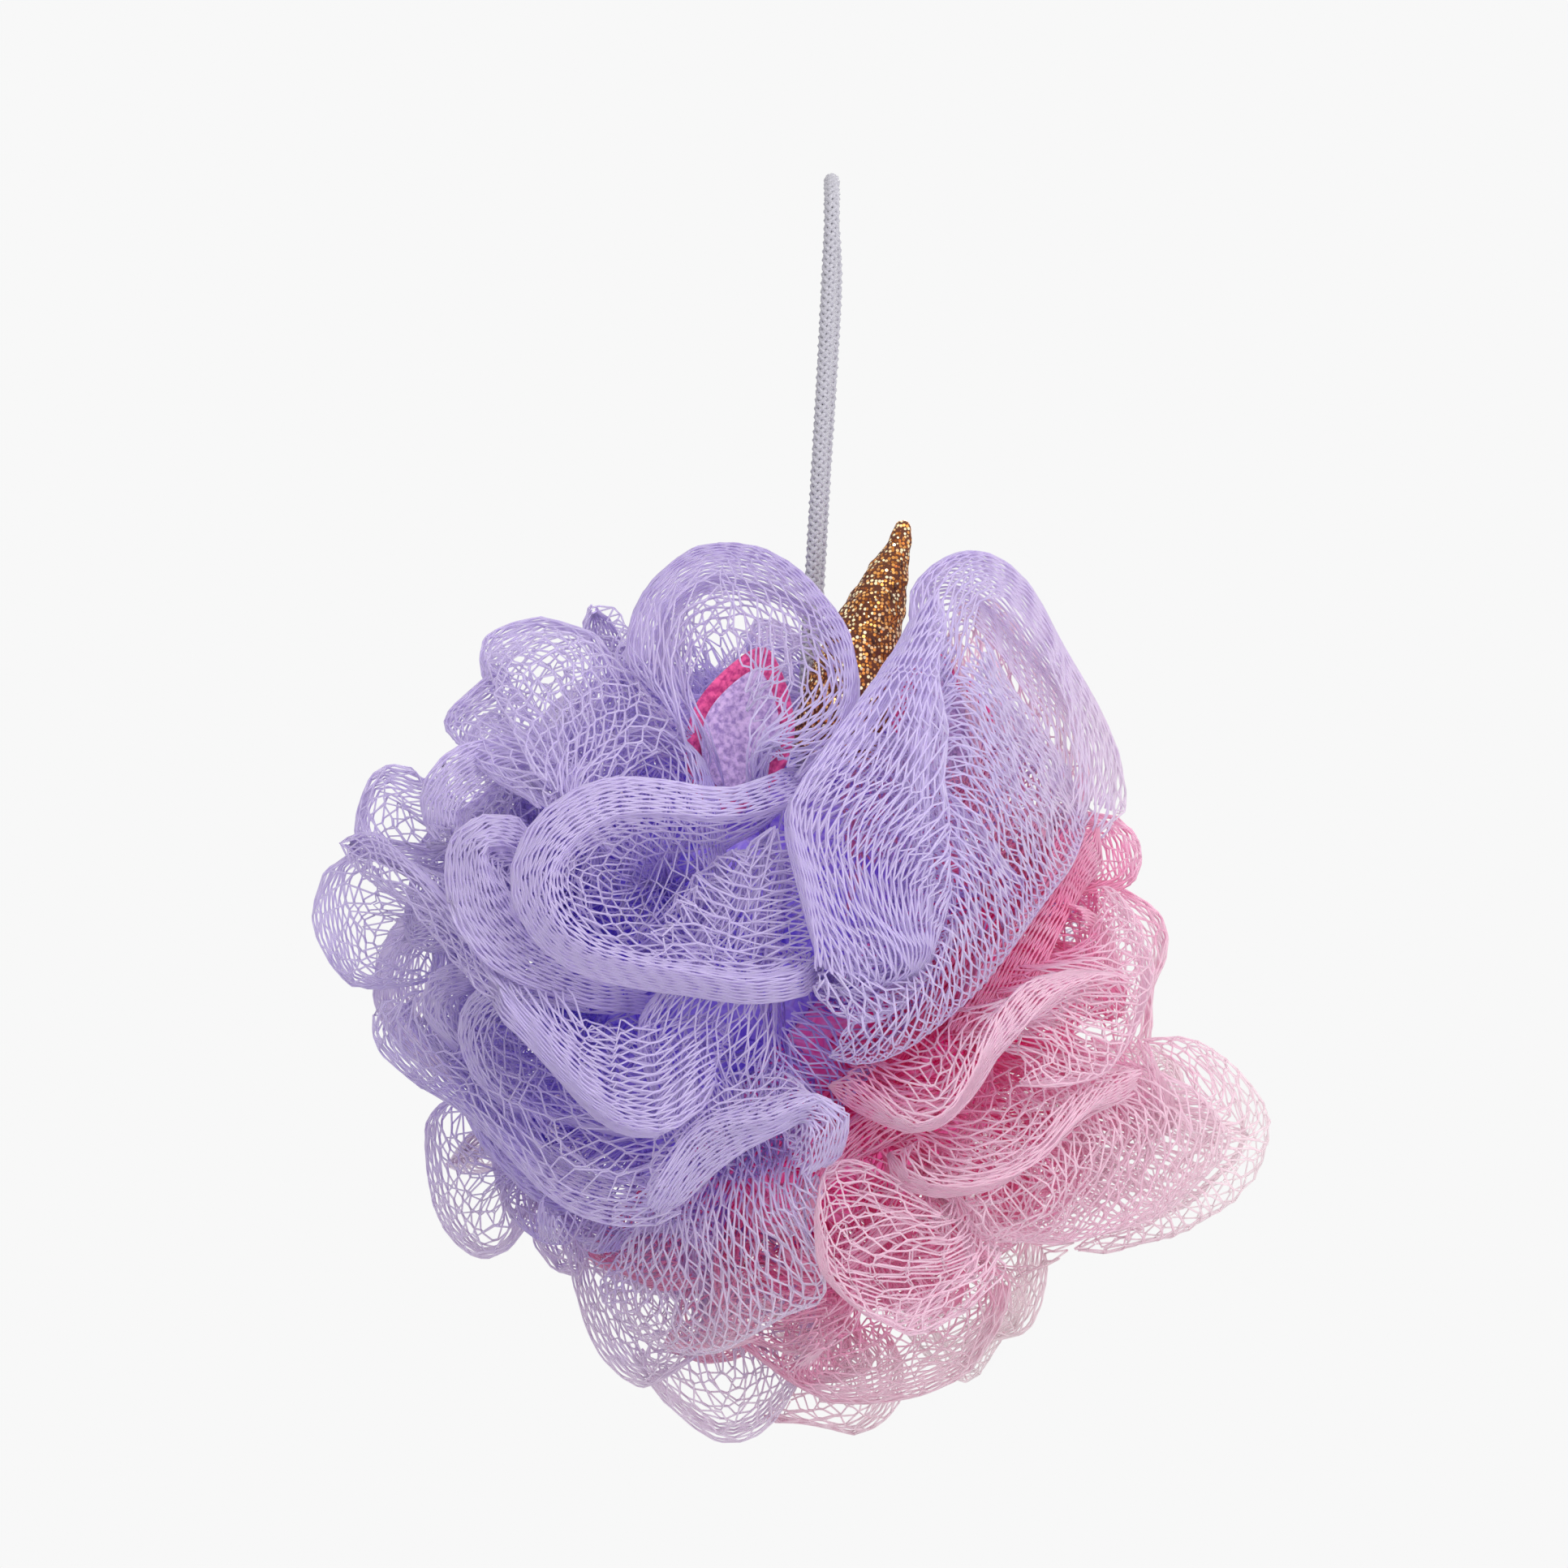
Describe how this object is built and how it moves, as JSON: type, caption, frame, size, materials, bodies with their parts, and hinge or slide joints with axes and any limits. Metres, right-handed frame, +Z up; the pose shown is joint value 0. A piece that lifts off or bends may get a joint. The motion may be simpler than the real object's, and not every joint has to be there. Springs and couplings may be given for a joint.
{
  "type": "bath sponge",
  "caption": "Hanging bath sponge of gathered ruffled net in two colours, tied on a cord loop, with a stuffed glitter-cloth horn and two plush ears.",
  "frame": {"origin": "inside the top of the cord's loop, where a hook bears", "axes": "+Z up as it hangs, -Y towards the viewer of the picture, +X to the picture's right"},
  "size_m": [0.1265, 0.1176, 0.1708],
  "materials": {
    "lilac_net": "satin extruded net",
    "pink_net": "satin extruded net",
    "cord_white": "braided",
    "gold_cloth": "glitter foil dots on cloth",
    "pink_fleece": "short pile",
    "pale_fleece": "short pile"
  },
  "bodies": {
    "root": {"lilac_net": "lilac_net", "pink_net": "pink_net", "hanging_cord": "cord_white", "cord_knot": "cord_white", "horn": "gold_cloth", "ear_left_plush": "pink_fleece", "ear_left_lining": "pale_fleece", "ear_right_plush": "pink_fleece", "ear_right_lining": "pale_fleece"}
  },
  "joints": []
}
